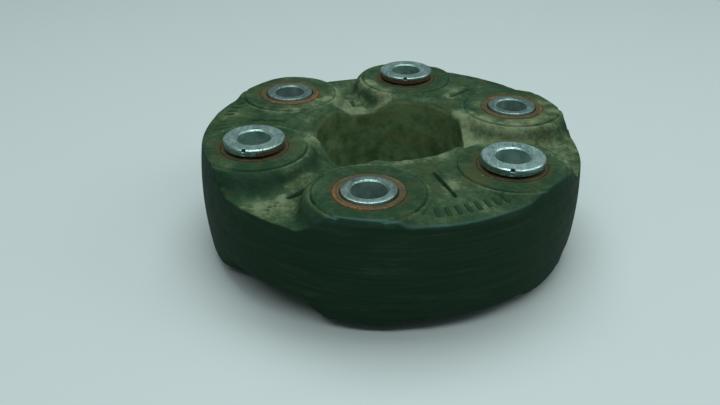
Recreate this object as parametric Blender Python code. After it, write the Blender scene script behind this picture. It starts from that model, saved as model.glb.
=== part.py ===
"""Flexible disc coupling: a rubber disc with six bolt sleeves, joined in pairs by loops of cord.

Three sleeves bolt to the driving flange and three to the driven flange, turn about.
Origin: centre of the disc. +Z: shaft axis. The first driving sleeve stands at -Y.
"""

import math

import bmesh
import bpy
from mathutils import Matrix, Vector

# Driving dimensions, in metres and degrees
BOLT_CIRCLE_R = 0.0525
BOLT_PITCH_DEG = 60.0
FIRST_SLEEVE_DEG = -90.0
CLEARANCE = 0.0003  # between pieces that touch on the real coupling

# Bolt sleeves
BORE_R = 0.0061
SLEEVE_R = 0.0093
SLEEVE_HALF = 0.0209  # flush end, from the mid-plane
HEAD_R = 0.01105
HEAD_UNDER = 0.0211  # underside of the centring head
HEAD_FACE = 0.0238
SLEEVE_CHAMFER = 0.00035

# Support collars
COLLAR_HUB_R = 0.0119
COLLAR_FLANGE_R = 0.0162
COLLAR_LOW = 0.0169
COLLAR_FLANGE_TOP = 0.0187
COLLAR_TOP = 0.0203

# Spacer rings and cord loops
SPACER_R = 0.0160
SPACER_LOW = 0.0064
SPACER_HIGH = 0.0074
LOOP_OUTER_R = 0.0157
MIDDLE_LOOP_HALF = 0.0061
OUTER_LOOP_LOW = 0.0077
OUTER_LOOP_HIGH = 0.0166

# Rubber body
CENTRE_HOLE_R = 0.0280
WALL_R_MID = 0.0719  # the outer wall is slightly barrelled
WALL_R_EDGE = 0.0702
EDGE_CHAMFER = 0.0012
BOSS_HALF = 0.0202
THICK_HALF = 0.0194
THIN_HALF = 0.0133
BOSS_FACE_R = 0.0193
BOSS_SHOULDER_R = 0.0207
BOSS_SHOULDER_HALF = 0.0189
BOSS_FOOT_R = 0.0236
THICK_SIDES_DEG = (-60.0, 60.0, 180.0)  # middles of the thick sections
THICK_HALF_ANGLE_DEG = 26.0  # each thick section ends inside the bosses beside it
THIN_SIDES_DEG = (-120.0, 0.0, 120.0)

# Facets round a full turn
ROUND = 24
SPACER_ROUND = 20
BOSS_ROUND = 30
WALL_ROUND = 60

INNER_R = SLEEVE_R + CLEARANCE
LOOP_HALF_SPAN = BOLT_CIRCLE_R * math.sin(math.radians(BOLT_PITCH_DEG / 2))
LOOP_MIDDLE_R = BOLT_CIRCLE_R * math.cos(math.radians(BOLT_PITCH_DEG / 2))


def clear_scene():
    for old in list(bpy.data.objects):
        bpy.data.objects.remove(old, do_unlink=True)


def polar(radius, degrees, z=0.0):
    """A point at a radius and an angle round the shaft axis."""
    angle = math.radians(degrees)
    return Vector((radius * math.cos(angle), radius * math.sin(angle), z))


def new_object(name, mesh, material=None):
    thing = bpy.data.objects.new(name, mesh)
    bpy.context.scene.collection.objects.link(thing)
    if material:
        mesh.materials.append(material)
    return thing


def mesh_from(bm, name, smooth_deg=35.0):
    """A bmesh as a mesh whose faces point out, shaded smooth except at its edges."""
    bmesh.ops.recalc_face_normals(bm, faces=bm.faces)
    mesh = bpy.data.meshes.new(name)
    bm.to_mesh(mesh)
    bm.free()
    mesh.shade_smooth()
    mesh.set_sharp_from_angle(angle=math.radians(smooth_deg))
    return mesh


def lathe_ring(name, profile, facets, first=0.0):
    """A ring turned about Z from a closed outline of (radius, height) points. first is a share of a facet."""
    bm = bmesh.new()
    rings = []
    for step in range(facets):
        turn = 360.0 * (step + first) / facets
        rings.append([bm.verts.new(polar(r, turn, z)) for r, z in profile])
    for step, ring in enumerate(rings):
        following = rings[(step + 1) % facets]
        for i in range(len(profile)):
            j = (i + 1) % len(profile)
            bm.faces.new((ring[i], following[i], following[j], ring[j]))
    return mesh_from(bm, name)


def lathe_solid(name, profile, facets, first=0.0):
    """A solid turned about Z from an outline whose first and last points are flat ends."""
    bm = bmesh.new()
    levels = []
    for r, z in profile:
        levels.append([bm.verts.new(polar(r, 360.0 * (i + first) / facets, z)) for i in range(facets)])
    for low, high in zip(levels, levels[1:]):
        for i in range(facets):
            j = (i + 1) % facets
            bm.faces.new((low[i], low[j], high[j], high[i]))
    bm.faces.new(levels[0])
    bm.faces.new(levels[-1])
    return mesh_from(bm, name)


def prism(name, outline, low, high):
    """A flat outline of (x, y) points raised from one height to another."""
    bm = bmesh.new()
    base = bm.faces.new([bm.verts.new((x, y, low)) for x, y in outline])
    raised = bmesh.ops.extrude_face_region(bm, geom=[base])
    top = [v for v in raised["geom"] if isinstance(v, bmesh.types.BMVert)]
    bmesh.ops.translate(bm, verts=top, vec=(0, 0, high - low))
    return mesh_from(bm, name)


def mirrored_profile(upper):
    """An outline from the mid-plane up, with its mirror image below."""
    return [(r, -z) for r, z in reversed(upper)] + list(upper)


def stadium(half_span, radius):
    """Points round two half circles joined by straight sides, along X."""
    points = []
    for end, start in ((half_span, -90.0), (-half_span, 90.0)):
        for step in range(ROUND // 2 + 1):
            p = polar(radius, start + 360.0 * step / ROUND)
            points.append((end + p.x, p.y))
    return points


# Materials


def make_material(name, colour, roughness, metallic=0.0):
    material = bpy.data.materials.new(name)
    material.use_nodes = True
    shader = material.node_tree.nodes["Principled BSDF"]
    shader.inputs["Base Color"].default_value = (*colour, 1.0)
    shader.inputs["Roughness"].default_value = roughness
    shader.inputs["Metallic"].default_value = metallic
    material.diffuse_color = (*colour, 1.0)
    return material


def make_materials():
    return {
        "rubber": make_material("rubber", (0.035, 0.042, 0.030), 0.75),
        "zinc_steel": make_material("zinc_steel", (0.62, 0.67, 0.69), 0.32, 1.0),
        "rusty_steel": make_material("rusty_steel", (0.30, 0.15, 0.06), 0.70, 0.4),
        "nylon": make_material("nylon", (0.55, 0.52, 0.42), 0.55),
        "cord": make_material("cord", (0.42, 0.36, 0.22), 0.85),
    }


# Steel and cord pieces


def sleeve_mesh():
    """A bolt sleeve with its centring head up."""
    c = SLEEVE_CHAMFER
    profile = [
        (BORE_R, -SLEEVE_HALF + c),
        (BORE_R + c, -SLEEVE_HALF),
        (SLEEVE_R - c, -SLEEVE_HALF),
        (SLEEVE_R, -SLEEVE_HALF + c),
        (SLEEVE_R, HEAD_UNDER),
        (HEAD_R, HEAD_UNDER),
        (HEAD_R, HEAD_FACE - c),
        (HEAD_R - c, HEAD_FACE),
        (BORE_R + c, HEAD_FACE),
        (BORE_R, HEAD_FACE - c),
    ]
    return lathe_ring("bolt_sleeve", profile, ROUND)


def collar_mesh():
    """A support collar: a hub that shows round the sleeve, on a wide flange under the rubber."""
    profile = [
        (INNER_R, COLLAR_LOW),
        (COLLAR_FLANGE_R, COLLAR_LOW),
        (COLLAR_FLANGE_R, COLLAR_FLANGE_TOP),
        (COLLAR_HUB_R, COLLAR_FLANGE_TOP),
        (COLLAR_HUB_R, COLLAR_TOP),
        (INNER_R, COLLAR_TOP),
    ]
    return lathe_ring("support_collar", profile, ROUND)


def spacer_mesh():
    profile = [
        (INNER_R, SPACER_LOW),
        (SPACER_R, SPACER_LOW),
        (SPACER_R, SPACER_HIGH),
        (INNER_R, SPACER_HIGH),
    ]
    return lathe_ring("spacer_ring", profile, SPACER_ROUND)


def loop_mesh(name, low, high):
    """A cord loop round two neighbouring sleeves, which stand along X."""
    bm = bmesh.new()
    rails = []
    for radius, z in ((INNER_R, low), (LOOP_OUTER_R, low), (LOOP_OUTER_R, high), (INNER_R, high)):
        rails.append([bm.verts.new((x, y, z)) for x, y in stadium(LOOP_HALF_SPAN, radius)])
    count = len(rails[0])
    for k, rail in enumerate(rails):
        other = rails[(k + 1) % len(rails)]
        for i in range(count):
            j = (i + 1) % count
            bm.faces.new((rail[i], rail[j], other[j], other[i]))
    return mesh_from(bm, name)


# Rubber body


def barrel_mesh():
    """The plain ring that the rubber body is cut from: central hole and barrelled wall."""
    c = EDGE_CHAMFER
    upper = [
        (WALL_R_MID, 0.0),
        ((WALL_R_MID * 3 + WALL_R_EDGE) / 4, BOSS_HALF / 2),
        (WALL_R_EDGE, BOSS_HALF - c),
        (WALL_R_EDGE - c, BOSS_HALF),
        (CENTRE_HOLE_R, BOSS_HALF),
    ]
    lower = [(r, -z) for r, z in reversed(upper[1:])]
    return lathe_ring("rubber_ring", lower + upper, WALL_ROUND, first=0.5)


def cutter(name, mesh, where=(0, 0, 0), turn_deg=0.0):
    """A shape that only cuts or joins others, and isn't a piece itself."""
    thing = new_object(name, mesh)
    thing.location = where
    thing.rotation_euler = (0, 0, math.radians(turn_deg))
    thing.hide_render = True
    thing.display_type = "WIRE"
    return thing


def add_boolean(target, operation, other):
    modifier = target.modifiers.new(f"{operation.lower()}_{other.name}", "BOOLEAN")
    modifier.operation = operation
    modifier.solver = "EXACT"
    if isinstance(other, bpy.types.Collection):
        modifier.operand_type = "COLLECTION"
        modifier.collection = other
    else:
        modifier.object = other


def gather(name, things):
    """Moves cutters into a collection of their own."""
    group = bpy.data.collections.new(name)
    bpy.context.scene.collection.children.link(group)
    for thing in things:
        bpy.context.scene.collection.objects.unlink(thing)
        group.objects.link(thing)
    return group


def make_height_form():
    """A slab at the thin sections' height, with the thick sections and the bosses standing proud."""
    reach = WALL_R_MID * 1.2
    square = [polar(reach * 1.5, 45 + 90 * i).xy for i in range(4)]
    slab = cutter("slab", prism("slab", square, -THIN_HALF, THIN_HALF))
    outline = [polar(r, a).xy for r, a in (
        (CENTRE_HOLE_R / 2, -THICK_HALF_ANGLE_DEG),
        (reach, -THICK_HALF_ANGLE_DEG),
        (reach, THICK_HALF_ANGLE_DEG),
        (CENTRE_HOLE_R / 2, THICK_HALF_ANGLE_DEG),
    )]
    thick = prism("thick_section", outline, -THICK_HALF, THICK_HALF)
    boss = lathe_solid("boss", mirrored_profile([
        (BOSS_FOOT_R, THIN_HALF),
        (BOSS_SHOULDER_R, BOSS_SHOULDER_HALF),
        (BOSS_FACE_R, BOSS_HALF + CLEARANCE),
    ]), BOSS_ROUND, first=0.5)
    raised = [cutter(f"thick_{i}", thick, turn_deg=a) for i, a in enumerate(THICK_SIDES_DEG)]
    for i in range(6):
        angle = FIRST_SLEEVE_DEG + BOLT_PITCH_DEG * i
        raised.append(cutter(f"boss_{i}", boss, polar(BOLT_CIRCLE_R, angle), angle))
    for thing in raised:
        add_boolean(slab, "UNION", thing)
    return slab


def sleeve_cavity_mesh():
    """The room for one sleeve's stack of collars, spacers and loop ends, open at both ends."""
    gap = CLEARANCE
    return lathe_solid("sleeve_cavity", mirrored_profile([
        (COLLAR_FLANGE_R + gap, COLLAR_FLANGE_TOP + gap),
        (COLLAR_HUB_R + gap, COLLAR_FLANGE_TOP + gap),
        (COLLAR_HUB_R + gap, HEAD_FACE),
    ]), ROUND)


def leg_cavity_mesh(name, low, high):
    """The room for one straight side of a cord loop, along X."""
    near, far = INNER_R - CLEARANCE, LOOP_OUTER_R + CLEARANCE
    outline = [(-LOOP_HALF_SPAN, near), (LOOP_HALF_SPAN, near), (LOOP_HALF_SPAN, far), (-LOOP_HALF_SPAN, far)]
    return prism(name, outline, low - CLEARANCE, high + CLEARANCE)


def make_cavities():
    sleeve_room = sleeve_cavity_mesh()
    rooms = []
    for i in range(6):
        angle = FIRST_SLEEVE_DEG + BOLT_PITCH_DEG * i
        rooms.append(cutter(f"sleeve_room_{i}", sleeve_room, polar(BOLT_CIRCLE_R, angle), angle))
    legs = {
        "middle": (leg_cavity_mesh("middle_leg", -MIDDLE_LOOP_HALF, MIDDLE_LOOP_HALF), THIN_SIDES_DEG),
        "upper": (leg_cavity_mesh("upper_leg", OUTER_LOOP_LOW, OUTER_LOOP_HIGH), THICK_SIDES_DEG),
        "lower": (leg_cavity_mesh("lower_leg", -OUTER_LOOP_HIGH, -OUTER_LOOP_LOW), THICK_SIDES_DEG),
    }
    for level, (mesh, sides) in legs.items():
        for i, side in enumerate(sides):
            for edge, turn in (("outer", -90.0), ("inner", 90.0)):
                where = polar(LOOP_MIDDLE_R, side)
                rooms.append(cutter(f"{level}_{edge}_leg_room_{i}", mesh, where, side + turn))
    return gather("cavities", rooms)


def make_rubber_body(materials):
    body = new_object("rubber_body", barrel_mesh(), materials["rubber"])
    add_boolean(body, "INTERSECT", make_height_form())
    add_boolean(body, "DIFFERENCE", make_cavities())


# Assembly


def make_cord_loops(materials):
    """Middle loops in the thin sections, an upper and a lower loop in each thick section."""
    kinds = {
        "middle": (loop_mesh("middle_loop", -MIDDLE_LOOP_HALF, MIDDLE_LOOP_HALF), THIN_SIDES_DEG),
        "upper": (loop_mesh("upper_loop", OUTER_LOOP_LOW, OUTER_LOOP_HIGH), THICK_SIDES_DEG),
        "lower": (loop_mesh("lower_loop", -OUTER_LOOP_HIGH, -OUTER_LOOP_LOW), THICK_SIDES_DEG),
    }
    for level, (mesh, sides) in kinds.items():
        mesh.materials.append(materials["cord"])
        for i, side in enumerate(sides):
            loop = new_object(f"cord_loop_{level}_{i + 1}", mesh)
            loop.location = polar(LOOP_MIDDLE_R, side)
            loop.rotation_euler = (0, 0, math.radians(side + 90.0))


def turned_over(mesh, name):
    """A mirror image below the mid-plane."""
    copy = mesh.copy()
    copy.name = name
    copy.transform(Matrix.Diagonal((1, 1, -1, 1)))
    copy.flip_normals()
    return copy


def make_sleeve_stack(meshes, set_name, number, angle, head_up):
    """One sleeve with its two collars and two spacers, each with its origin on the sleeve's axis."""
    parts = [
        (f"{set_name}_sleeve_{number}", meshes["sleeve_up" if head_up else "sleeve_down"]),
        (f"{set_name}_collar_upper_{number}", meshes["collar_upper"]),
        (f"{set_name}_collar_lower_{number}", meshes["collar_lower"]),
        (f"{set_name}_spacer_upper_{number}", meshes["spacer_upper"]),
        (f"{set_name}_spacer_lower_{number}", meshes["spacer_lower"]),
    ]
    made = []
    for name, mesh in parts:
        thing = new_object(name, mesh)
        thing.location = polar(BOLT_CIRCLE_R, angle)
        thing.rotation_euler = (0, 0, math.radians(angle))
        made.append(thing)
    return made


def make_bush_sets(materials):
    """Three driving sleeves, which turn together on the shaft axis, and three driven ones between them."""
    meshes = {"sleeve_up": sleeve_mesh(), "collar_upper": collar_mesh(), "spacer_upper": spacer_mesh()}
    meshes["sleeve_up"].materials.append(materials["zinc_steel"])
    meshes["collar_upper"].materials.append(materials["rusty_steel"])
    meshes["spacer_upper"].materials.append(materials["nylon"])
    meshes["sleeve_down"] = turned_over(meshes["sleeve_up"], "bolt_sleeve_down")
    meshes["collar_lower"] = turned_over(meshes["collar_upper"], "support_collar_lower")
    meshes["spacer_lower"] = turned_over(meshes["spacer_upper"], "spacer_ring_lower")

    driving_axis = bpy.data.objects.new("driving_axis", None)
    bpy.context.scene.collection.objects.link(driving_axis)
    for i in range(3):
        angle = FIRST_SLEEVE_DEG + 2 * BOLT_PITCH_DEG * i
        for thing in make_sleeve_stack(meshes, "driving", i + 1, angle, head_up=False):
            thing.parent = driving_axis
        make_sleeve_stack(meshes, "driven", i + 1, angle + BOLT_PITCH_DEG, head_up=True)


def main():
    clear_scene()
    materials = make_materials()
    make_rubber_body(materials)
    make_cord_loops(materials)
    make_bush_sets(materials)


main()
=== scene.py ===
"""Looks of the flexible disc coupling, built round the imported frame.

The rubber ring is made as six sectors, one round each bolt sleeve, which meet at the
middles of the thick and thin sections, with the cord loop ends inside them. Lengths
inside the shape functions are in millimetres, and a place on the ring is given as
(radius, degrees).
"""

import math

import bmesh
import bpy
import numpy as np
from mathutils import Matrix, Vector


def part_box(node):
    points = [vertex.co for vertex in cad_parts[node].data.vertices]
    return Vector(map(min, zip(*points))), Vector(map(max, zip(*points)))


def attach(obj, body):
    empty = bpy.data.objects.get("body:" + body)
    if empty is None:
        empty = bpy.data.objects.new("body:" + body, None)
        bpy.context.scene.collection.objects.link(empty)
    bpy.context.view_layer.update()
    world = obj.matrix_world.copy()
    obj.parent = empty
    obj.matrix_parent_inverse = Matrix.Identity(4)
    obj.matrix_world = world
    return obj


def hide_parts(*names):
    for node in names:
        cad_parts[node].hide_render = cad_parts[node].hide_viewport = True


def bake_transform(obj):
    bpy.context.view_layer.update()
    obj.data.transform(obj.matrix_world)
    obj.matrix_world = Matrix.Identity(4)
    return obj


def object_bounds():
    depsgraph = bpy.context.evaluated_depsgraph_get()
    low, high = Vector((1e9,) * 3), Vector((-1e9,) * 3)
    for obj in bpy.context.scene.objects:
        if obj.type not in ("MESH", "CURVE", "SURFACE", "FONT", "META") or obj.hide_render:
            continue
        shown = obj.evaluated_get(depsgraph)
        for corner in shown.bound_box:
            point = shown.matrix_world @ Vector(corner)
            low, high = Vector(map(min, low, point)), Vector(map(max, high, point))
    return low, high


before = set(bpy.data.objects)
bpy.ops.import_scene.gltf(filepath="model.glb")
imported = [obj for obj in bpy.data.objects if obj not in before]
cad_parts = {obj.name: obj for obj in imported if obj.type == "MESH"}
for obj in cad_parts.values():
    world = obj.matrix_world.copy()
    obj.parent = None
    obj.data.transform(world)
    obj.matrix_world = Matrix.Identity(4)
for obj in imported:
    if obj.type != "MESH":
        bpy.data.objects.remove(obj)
cad_lo, cad_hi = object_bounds()

MM = 0.001
HALF_SECTOR = 30.0  # degrees from a sleeve to the border of its sector

# Camera, in the frame's own directions
CAMERA_PLACE = (0.03250, -0.26717, 0.13918)
CAMERA_BACK_AZIMUTH = 9.364
CAMERA_ELEVATION = 29.585
CAMERA_LENS = 38.6
SENSOR_WIDTH = 36.0


def centre_of(node):
    lo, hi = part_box(node)
    return (lo + hi) / 2


# Places read from the frame
SLEEVES = [(f"{kind}_sleeve_{i}", kind, i) for kind in ("driving", "driven") for i in (1, 2, 3)]
BUSH_AT = {name: np.array(centre_of(name).xy) / MM for name, _, _ in SLEEVES}
BUSH_XY = np.array(list(BUSH_AT.values()))
BOLT_R = float(np.hypot(*BUSH_XY[0]))
SLEEVE_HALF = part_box("driving_sleeve_1")[1].z / MM
HEAD_FACE = cad_hi.z / MM
HEAD_R = (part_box("driven_sleeve_1")[1].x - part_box("driven_sleeve_1")[0].x) / 2 / MM
COLLAR_R = (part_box("driven_collar_upper_1")[1].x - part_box("driven_collar_upper_1")[0].x) / 2 / MM
COLLAR_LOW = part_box("driven_collar_upper_1")[0].z / MM
COLLAR_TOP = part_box("driven_collar_upper_1")[1].z / MM
WALL_R_MID = cad_hi.x / MM

# Rubber ring
HOLE_R = 28.0
WALL_R_EDGE = 70.2
BARREL_Z = 20.0
THICK_SIDES = (-60.0, 60.0, 180.0)
THICK_Z = 19.75
THIN_Z = 13.7
FLANK_R = 22.0
FLANK_SLOPE = 1.9
DISC_Z = 20.15
DISC_EDGE = 18.3
GROOVE_R = 18.8
GROOVE_DEPTH = 0.5
GROOVE_WIDTH = 0.24
LIP_Z = 19.75
# Radius of the light ring on the lips, partly dust and partly a painted highlight
LIP_DUST_AND_SHEEN_R = 19.65
OPENING_R = 12.2
ROOM_R = 16.5
ROOM_TOP = 19.0

# Sleeves and collars
BORE_R = 6.1
SLEEVE_R = 9.3
HEAD_UNDER = 21.1
BORE_CHAMFER = 0.5
RIM_CHAMFER = 0.38
COLLAR_IN = 9.6
COLLAR_HUB_R = 12.1
COLLAR_FLANGE_TOP = 18.7
# How much orange rust the collars show; the driven ones are kept dull, partly for their brown crust and
# partly as painted shade from the heads over them
COLLAR_RUST_AND_SHADE = {"driving": 1.0, "driven": 0.1}
FLUSH_DARKENING = 0.40  # darkening of the flush ends of the sleeves whose heads are below, and painted shade down their bores
NOTCH_DEG = {"driven_sleeve_1": -91.0, "driven_sleeve_2": -85.0, "driven_sleeve_3": -94.0}
# Rust on the heads' rims, and on a rustier side: (extra, its middle, half width and fade in degrees)
RIM_RUST = {"driven_sleeve_1": 0.2, "driven_sleeve_2": 1.15, "driven_sleeve_3": 0.2}
RUSTY_SIDES = {"driven_sleeve_1": (0.4, -150.0, 45.0, 30.0), "driven_sleeve_3": (0.9, -30.0, 64.0, 40.0)}

# Cord loops
LOOP_IN, LOOP_OUT = 9.6, 15.7
LOOP_LEVELS = {"middle": (-6.1, 6.1), "upper": (7.7, 16.6), "lower": (-16.6, -7.7)}
LOOP_BEVEL = 0.9
ARC_STEPS = 24
LEG_POINTS = 9

# Slits that the mould's cord guides left: (start, end, half width, depth)
SLITS = (
    ((39.8, -60.9), (57.2, -61.2), 0.52, 1.5),
    ((39.6, 58.6), (52.5, 57.9), 0.50, 1.0),
    ((40.8, -178.7), (53.6, -177.7), 0.55, 0.8),
    ((46.0, -116.6), (56.2, -119.6), 0.62, 2.2),
    ((37.5, 121.6), (44.0, 119.4), 0.75, 0.9),
    ((44.0, 1.6), (52.0, 2.6), 0.65, 0.7),
)
# Ridges and lumps of flash: (start, end, radius, height)
RIDGES = (
    ((56.6, -121.4), (58.0, -120.8), 1.3, 0.9),
    ((42.5, -121.6), (51.5, -122.8), 2.7, 2.1),
    ((43.0, -57.6), (51.0, -58.8), 1.3, 0.45),
    ((37.4, 60.4), (39.0, 60.6), 1.6, 0.8),
    ((42.0, 62.5), (52.0, 61.0), 1.5, 0.5),
    ((44.0, 125.5), (30.5, 131.0), 1.9, 1.7),
    ((30.0, 125.0), (33.0, 118.5), 1.8, 1.1),
    ((47.5, 108.5), (33.0, 101.5), 2.2, 1.3),
    ((31.0, -49.0), (29.8, -72.0), 1.1, 0.35),
)
# Areas that hold more dust: (place, radius, amount). The negative amounts, at (64, -132) and (66, -92), are
# painted shade at the fronts of two bosses; the spots at (45, 171), (38, 160) and (35, 145) are partly dust
# and partly a painted highlight where the inner rim turns.
DUST_AND_SHADING_SPOTS = (
    ((45, 171), 5.0, 0.45), ((38, 160), 4.5, 0.60), ((35, 145), 4.0, 0.70), ((38, 127), 5.5, 0.85),
    ((30, 127), 4.0, 0.85), ((33, 102), 3.5, 0.60), ((46, 109), 4.0, 0.55), ((39, 60), 3.0, 0.80),
    ((47, 63), 4.5, 0.45), ((30, 32), 4.5, 0.80), ((35, 20), 5.0, 0.85), ((36, 6), 7.0, 0.75),
    ((50, 8), 8.0, 0.55), ((62, 4), 7.0, 0.30), ((30, -46), 3.5, 0.50), ((31, -72), 3.5, 0.55),
    ((31, -98), 4.0, 0.45), ((58, -121), 2.0, 0.70), ((47, -123), 4.5, 0.10), ((31, -150), 4.5, 0.70),
    ((34, 178), 5.0, 0.35), ((62, 176), 6.0, 0.40), ((58, -168), 5.0, 0.35), ((60, -63), 6.0, 0.35),
    ((50, -57), 4.0, 0.35), ((66, -55), 4.0, 0.30), ((52, 98), 5.0, 0.35), ((62, 118), 6.0, 0.25),
    ((42, 38), 6.0, 0.45), ((66, 30), 5.0, 0.45), ((56, 20), 6.0, 0.35), ((44, 149), 3.0, 0.45),
    ((40, 166), 3.0, 0.35), ((62, 160), 6.0, 0.30), ((64, -132), 7.0, -0.50), ((66, -92), 6.0, -0.20),
    ((64, -119), 7.0, 0.75), ((56, 28), 10.0, 0.85), ((50, 150), 10.0, 0.52), ((44, -44), 7.0, 0.25),
    ((52, -60), 7.0, 0.25), ((38, -142), 6.0, 0.25), ((66, -140), 5.0, 0.35), ((68, -126), 4.0, 0.35),
)
# Browner areas: (place, radius, amount)
WARM = (
    ((43.5, -43.5), 6.0, 0.22), ((52.0, -48.5), 5.0, 0.18), ((40.6, -142), 3.5, 0.22), ((60, 150), 8.0, 0.08),
    ((33, -62), 5.0, 0.12), ((60, -32), 6.0, 0.10), ((40, 86), 4.0, 0.10), ((66, -118), 6.0, 0.08),
    ((55, 26), 14.0, 0.12), ((58, 6), 9.0, 0.07),
)
# Extra dust on the thin sections, by the direction of their middles; the small amount at -120 is partly
# painted shade, for the section that lies in a boss's shade.
THIN_DUST_AND_SHADE = {-120.0: 0.08, 0.0: 0.45, 120.0: 0.32}

# Rows of plain raised bars: (radius, first degree, last degree, count, height)
BAR_ROWS = ((64.2, -69.4, -47.8, 8, 0.5), (64.6, 164.0, 176.4, 5, 0.3), (64.6, -177.0, -170.8, 3, 0.3))
BAR_SIZE = (1.7, 4.3)
BAR_DUST, DOT_DUST = 0.06, 0.85
PAD_SIDES = 20
# Outline of a pad from its middle out and down: (share of its size, share of its height)
PAD_DOME = ((0.04, 1.0), (0.45, 0.95), (0.70, 0.78), (0.88, 0.42), (1.0, 0.0), (1.04, -1.0), (0.04, -1.0))
DOT_LIFT = 0.6  # how much of its height a dot stands proud
# Small raised dots: (place, radius, height)
DOTS = (
    ((60.5, -120.6), 0.75, 0.7), ((62.2, -119.6), 0.65, 0.6), ((63.6, -120.4), 0.75, 0.6),
    ((61.6, -118.2), 0.55, 0.5), ((65.4, -119.5), 0.60, 0.5), ((62.8, -13.0), 0.8, 0.6),
    ((64.4, -10.6), 0.7, 0.6), ((61.6, -15.8), 0.7, 0.5), ((65.8, -8.0), 0.7, 0.5),
    ((32.2, -69.0), 0.7, 0.45), ((31.6, -64.8), 0.8, 0.5), ((31.9, -60.6), 0.7, 0.45),
    ((31.4, -56.4), 0.8, 0.5), ((50.6, -45.0), 0.5, 0.4), ((53.2, -43.2), 0.45, 0.4),
    ((55.6, -51.0), 0.5, 0.4),
)


# Shape helpers, on arrays


def smooth(t):
    t = np.clip(t, 0.0, 1.0)
    return t * t * (3 - 2 * t)


def bell(t):
    """1 at 0, falling away evenly on both sides."""
    return np.exp(-(t**2))


def smooth_max(a, b, k):
    h = np.clip(0.5 + 0.5 * (a - b) / k, 0, 1)
    return b + (a - b) * h + k * h * (1 - h)


def value_noise(x, y, z, seed):
    """Smooth noise from -1 to 1, one cell to a unit, from a number hashed for each corner."""

    def corner(i, j, k):
        n = (i * 73856093) ^ (j * 19349663) ^ (k * 83492791) ^ (seed * 2654435)
        n = (n ^ (n >> 13)) * 1274126177
        return ((n & 0xFFFF) / 32767.5) - 1.0

    xi, yi, zi = (np.floor(v).astype(np.int64) for v in (x, y, z))
    fx, fy, fz = (smooth(v - i) for v, i in ((x, xi), (y, yi), (z, zi)))
    total = 0.0
    for di in (0, 1):
        for dj in (0, 1):
            for dk in (0, 1):
                weight = (fx if di else 1 - fx) * (fy if dj else 1 - fy) * (fz if dk else 1 - fz)
                total = total + weight * corner(xi + di, yi + dj, zi + dk)
    return total


def flat_noise(x, y, size, seed):
    return value_noise(x / size, y / size, np.zeros_like(x), seed)


def at_polar(r, deg):
    return r * math.cos(math.radians(deg)), r * math.sin(math.radians(deg))


def polar_of(x, y):
    return np.hypot(x, y), np.degrees(np.arctan2(y, x))


def turn_between(deg, other):
    return (deg - other + 180) % 360 - 180


def segment_distance(x, y, start, end):
    """Distance to a straight stretch between two places, and how far along it, from 0 to 1."""
    p, q = np.array(at_polar(*start)), np.array(at_polar(*end))
    d = q - p
    t = np.clip(((x - p[0]) * d[0] + (y - p[1]) * d[1]) / (d @ d), 0, 1)
    return np.hypot(x - p[0] - t * d[0], y - p[1] - t * d[1]), t


def nearest_bush(x, y):
    return np.min([np.hypot(x - bx, y - by) for bx, by in BUSH_XY], axis=0)


# The rubber's surface


def off_thick(deg):
    """Degrees from the middle of the nearest thick section."""
    return np.min([np.abs(turn_between(deg, side)) for side in THICK_SIDES], axis=0)


def near_wall(r):
    """0 inside the ring, rising to 1 at its outer edge."""
    return smooth((r - 58) / 12)


def section_height(r, deg):
    """Half height of the ring between the bosses: thick sections, thin ones, and the ramps."""
    thick = THICK_Z - 0.3 * smooth((r - 30) / 12) - 1.4 * near_wall(r)
    thin = THIN_Z - 0.8 * smooth((r - 30) / 38)
    past_bush = off_thick(deg) - HALF_SECTOR
    ramp_end = 22.0 - 9.0 * smooth((r - 28) / 16)
    return thick + (thin - thick) * smooth((past_bush - 1.5) / (ramp_end - 1.5))


def boss_height(d):
    """Half height of a boss at a distance from its sleeve's axis."""
    disc = DISC_Z - 0.22 * (1 - smooth((d - OPENING_R) / 0.6))
    lip = LIP_Z + (DISC_Z - LIP_Z) * (1 - smooth((d - DISC_EDGE) / 0.6))
    z = np.where(d < DISC_EDGE, disc, lip)
    z = z - GROOVE_DEPTH * bell((d - GROOVE_R) / GROOVE_WIDTH)
    shoulder = 0.9 * smooth((d - 20.0) / 1.3) + 2.3 * smooth((d - 21.0) / 1.5)
    return z - shoulder - FLANK_SLOPE * np.clip(d - FLANK_R, 0, None)


def slit_depth(x, y):
    """How deep the slits cut at a place, and how strongly it lies in one."""
    depth = np.zeros_like(x)
    inside = np.zeros_like(x)
    for start, end, half_width, most in SLITS:
        away, along = segment_distance(x, y, start, end)
        away = away * (1 + 0.2 * flat_noise(x, y, 1.6, 14))
        taper = 0.45 + 0.55 * np.sin(np.pi * np.clip(along, 0.08, 0.92)) ** 0.5
        cut = 1 - smooth((away / half_width - 0.45) / 0.95)
        depth = np.maximum(depth, most * taper * cut)
        inside = np.maximum(inside, cut * min(1.0, most / 1.4))
    return depth, inside


def ridge_height(x, y):
    height = np.zeros_like(x)
    for start, end, radius, most in RIDGES:
        away, _ = segment_distance(x, y, start, end)
        away = away * (1 + 0.25 * flat_noise(x, y, 2.4, 17))
        height = height + most * bell(away / radius)
    return height * (1 + 0.3 * flat_noise(x, y, 1.8, 19))


def top_height(x, y):
    """Half height of the rubber at a place, before the rounding of its edges."""
    r, deg = polar_of(x, y)
    d = nearest_bush(x, y)
    z = section_height(r, deg)
    z = z + 0.24 * flat_noise(x, y, 7.0, 5) + 0.08 * flat_noise(x, y, 2.2, 9)
    clear_of_disc = smooth((d - 20.3) / 1.2)
    z = z + clear_of_disc * ridge_height(x, y)
    foot = 0.4 + 1.9 * smooth((d - 20.6) / 2.0)
    z = smooth_max(z, boss_height(d) + 0.05 * flat_noise(x, y, 3.0, 3), foot)
    return z - clear_of_disc * slit_depth(x, y)[0]


def wall_radius(z):
    """The outer wall is slightly barrelled."""
    return WALL_R_MID - (WALL_R_MID - WALL_R_EDGE) * (np.abs(z) / BARREL_Z) ** 2


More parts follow.
